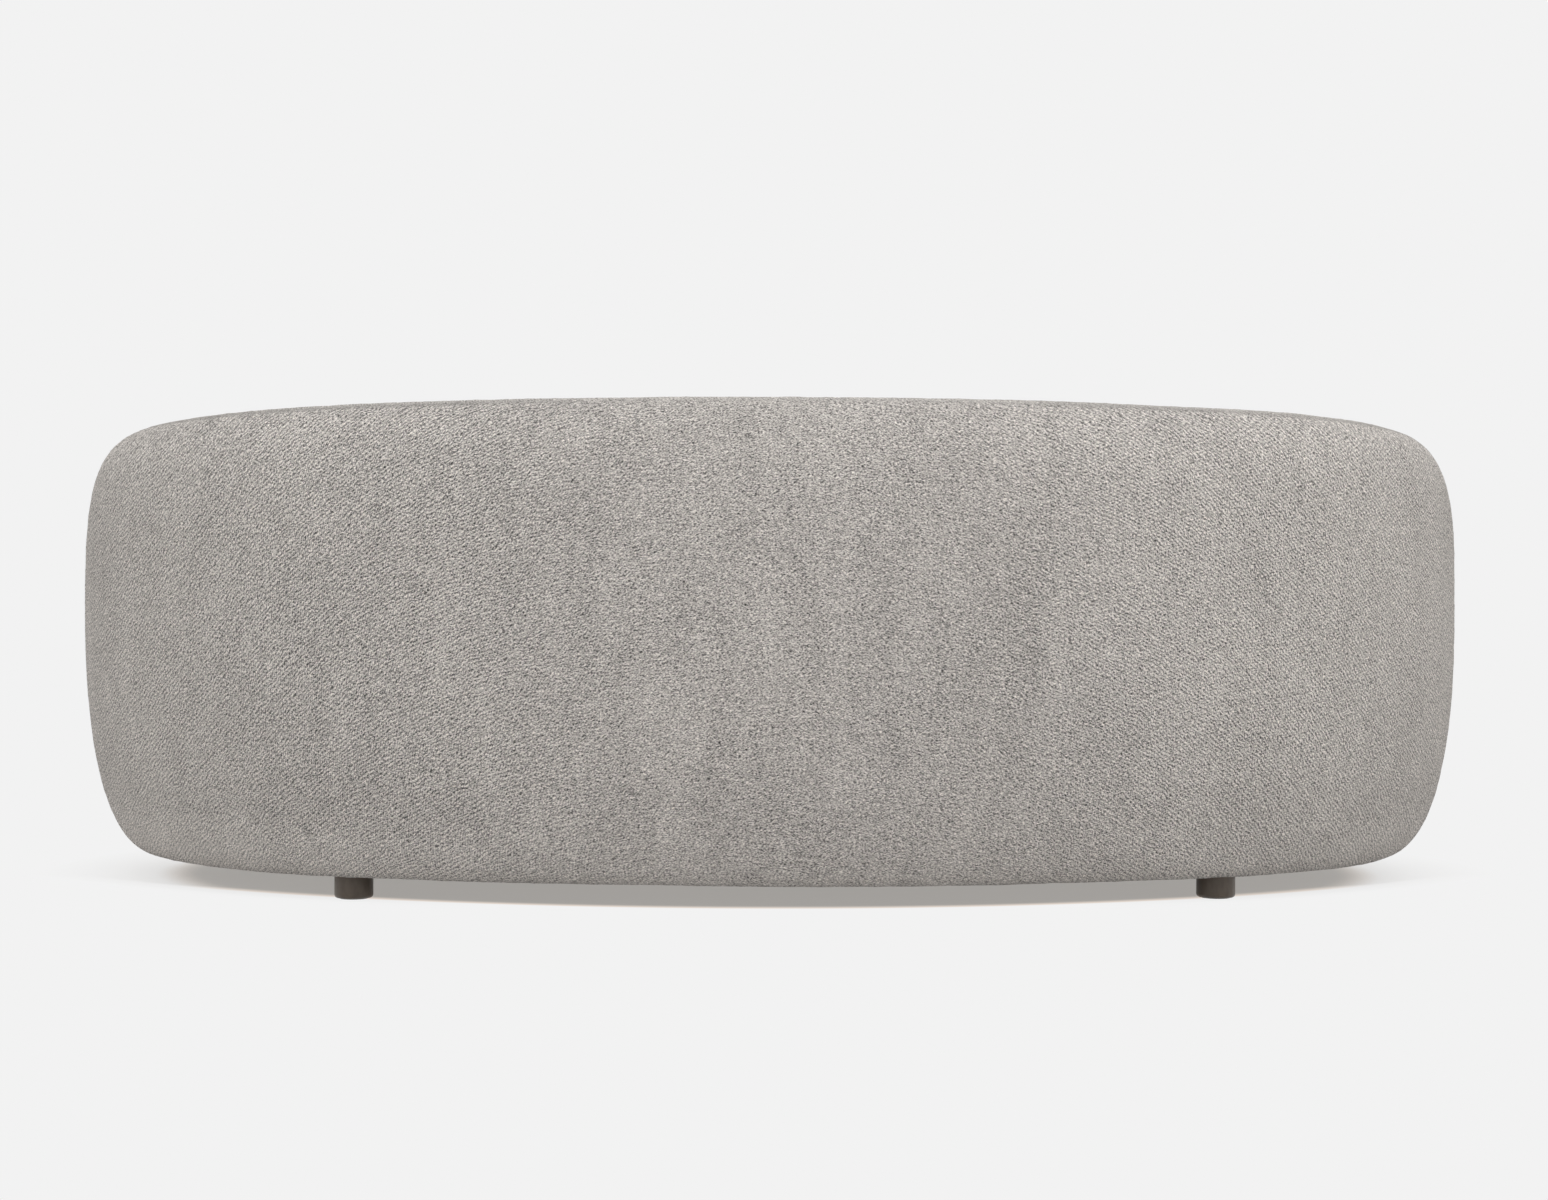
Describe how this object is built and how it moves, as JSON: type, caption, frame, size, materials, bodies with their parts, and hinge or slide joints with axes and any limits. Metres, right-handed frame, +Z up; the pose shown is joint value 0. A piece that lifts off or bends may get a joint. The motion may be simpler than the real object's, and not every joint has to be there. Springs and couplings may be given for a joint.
{
  "type": "curved sofa",
  "caption": "Curved tub sofa: one upholstered band forms back and arms round a concave seat with a loose bench cushion, on short round feet.",
  "frame": {"origin": "on the floor under the middle of the sofa's bounding box", "axes": "+Z up, the seat faces -Y, +X towards the sitter's left"},
  "size_m": [2.4166, 1.1262, 0.77],
  "materials": {
    "boucle": "pebbly woven pile, matt",
    "lining": "plain woven cotton, matt",
    "black_felt": "non-woven felt, matt",
    "foam": "cut open-cell foam",
    "plywood": "unfinished plywood",
    "webbing": "elastic woven tape",
    "dark_wood": "dark stained, satin",
    "bolt_steel": "zinc plated",
    "zip_tape": "coil zip on woven tape"
  },
  "bodies": {
    "sofa_frame": {"apron_cover": "boucle", "apron_foam": "foam", "arm_foam_left": "foam", "arm_foam_right": "foam", "arm_panel_left": "plywood", "arm_panel_right": "plywood", "back_foam": "foam", "back_rib_1": "plywood", "back_rib_10": "plywood", "back_rib_11": "plywood", "back_rib_2": "plywood", "back_rib_3": "plywood", "back_rib_4": "plywood", "back_rib_5": "plywood", "back_rib_6": "plywood", "back_rib_7": "plywood", "back_rib_8": "plywood", "back_rib_9": "plywood", "band_cover": "boucle", "base_plate": "plywood", "deck_cloth": "lining", "deck_pad": "foam", "dust_cover": "black_felt", "foot_bolt_front_left": "bolt_steel", "foot_bolt_front_right": "bolt_steel", "foot_bolt_rear_left": "bolt_steel", "foot_bolt_rear_right": "bolt_steel", "foot_front_left": "dark_wood", "foot_front_right": "dark_wood", "foot_glide_front_left": "black_felt", "foot_glide_front_right": "black_felt", "foot_glide_rear_left": "black_felt", "foot_glide_rear_right": "black_felt", "foot_rear_left": "dark_wood", "foot_rear_right": "dark_wood", "front_plate": "plywood", "front_rail": "plywood", "inner_liner": "plywood", "mid_rail": "plywood", "seat_back_rail": "plywood", "seat_bearer_1": "plywood", "seat_bearer_2": "plywood", "seat_bearer_3": "plywood", "seat_bearer_4": "plywood", "seat_bearer_5": "plywood", "seat_strap_1": "webbing", "seat_strap_2": "webbing", "seat_strap_3": "webbing", "seat_strap_4": "webbing", "seat_strap_5": "webbing", "seat_strap_6": "webbing", "seat_strap_7": "webbing", "seat_strap_8": "webbing", "seat_strap_9": "webbing", "top_rail": "plywood"},
    "seat_cushion": {"seat_cushion_cover": "boucle", "seat_cushion_core": "foam", "seat_cushion_zip": "zip_tape"}
  },
  "joints": [
    {"name": "seat_cushion_lift", "type": "slide", "parent": "sofa_frame", "child": "seat_cushion", "axis": [0, 0, 1], "range_m": [0, 0.35]}
  ]
}
